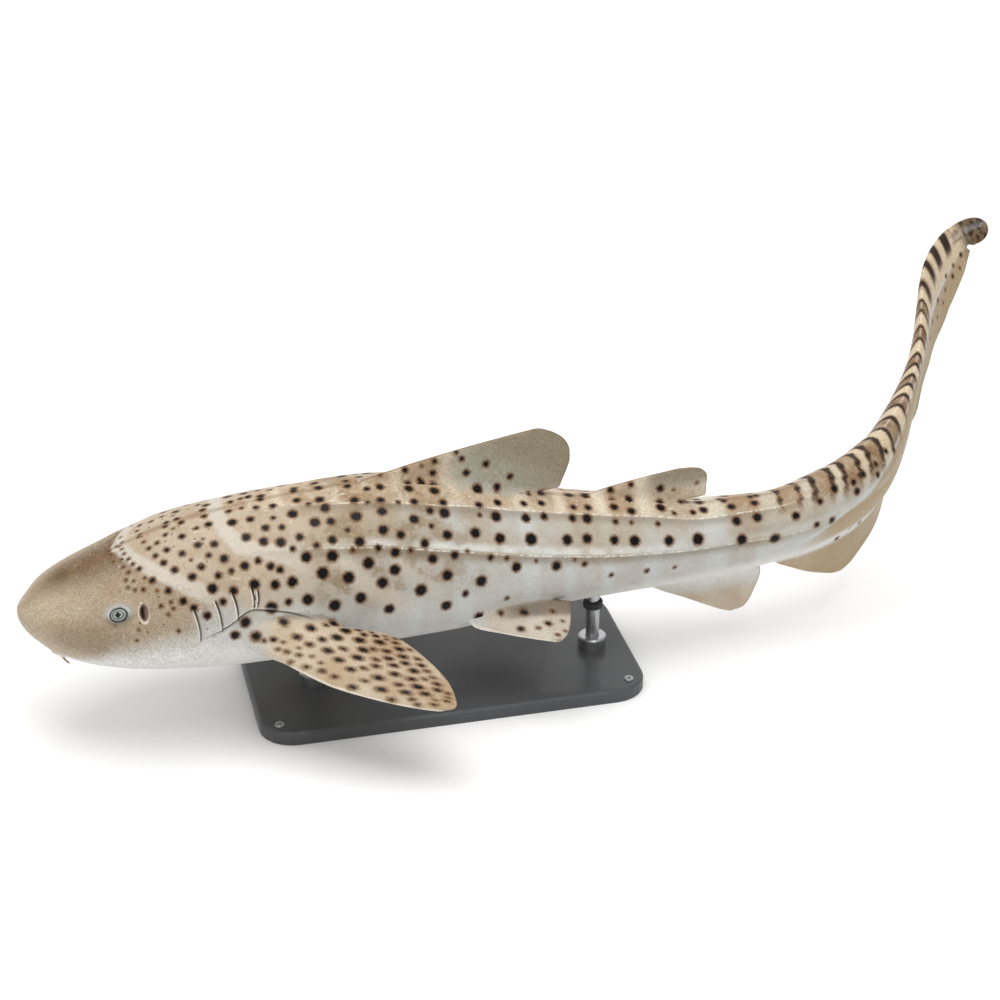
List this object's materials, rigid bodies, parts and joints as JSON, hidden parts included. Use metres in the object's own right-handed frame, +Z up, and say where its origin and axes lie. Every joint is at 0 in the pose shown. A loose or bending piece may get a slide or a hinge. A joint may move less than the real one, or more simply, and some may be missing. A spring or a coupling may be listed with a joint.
{
  "type": "zebra shark display model",
  "caption": "Life-size still model of a spotted subadult zebra shark swimming with its long tail swung aside, on a low two-rod display stand.",
  "frame": {"origin": "centre of the whole model's footprint, at the height of the stand plate's underside", "axes": "+Z up; the head and trunk lie along X with the snout towards -X; the fish's left side faces -Y and its tail swings towards +Y"},
  "size_m": [1.0174, 0.5297, 0.2389],
  "materials": {
    "skin": "satin, spotted",
    "head_skin": "satin, finely speckled",
    "fin_skin": "satin, spotted",
    "eye": "clear gloss",
    "stand_plate": "satin",
    "stand_rod": "brushed"
  },
  "bodies": {
    "root": {"gill_region": "skin", "trunk_front": "skin", "trunk_middle": "skin", "trunk_rear": "skin", "tail_base": "skin", "tail_first_length": "skin", "tail_second_length": "skin", "tail_third_length": "skin", "tail_fourth_length": "skin", "head": "head_skin", "lower_jaw": "head_skin", "left_nasal_barbel": "head_skin", "right_nasal_barbel": "head_skin", "first_dorsal_fin": "fin_skin", "second_dorsal_fin": "fin_skin", "anal_fin": "fin_skin", "left_pectoral_fin": "fin_skin", "right_pectoral_fin": "fin_skin", "left_pelvic_fin": "fin_skin", "right_pelvic_fin": "fin_skin", "caudal_lower_lobe_front": "fin_skin", "caudal_lower_lobe_rear": "fin_skin", "caudal_terminal_lobe": "fin_skin", "left_eye": "eye", "right_eye": "eye", "stand_base": "stand_plate", "stand_rod_front": "stand_rod", "stand_rod_rear": "stand_rod"}
  },
  "joints": []
}
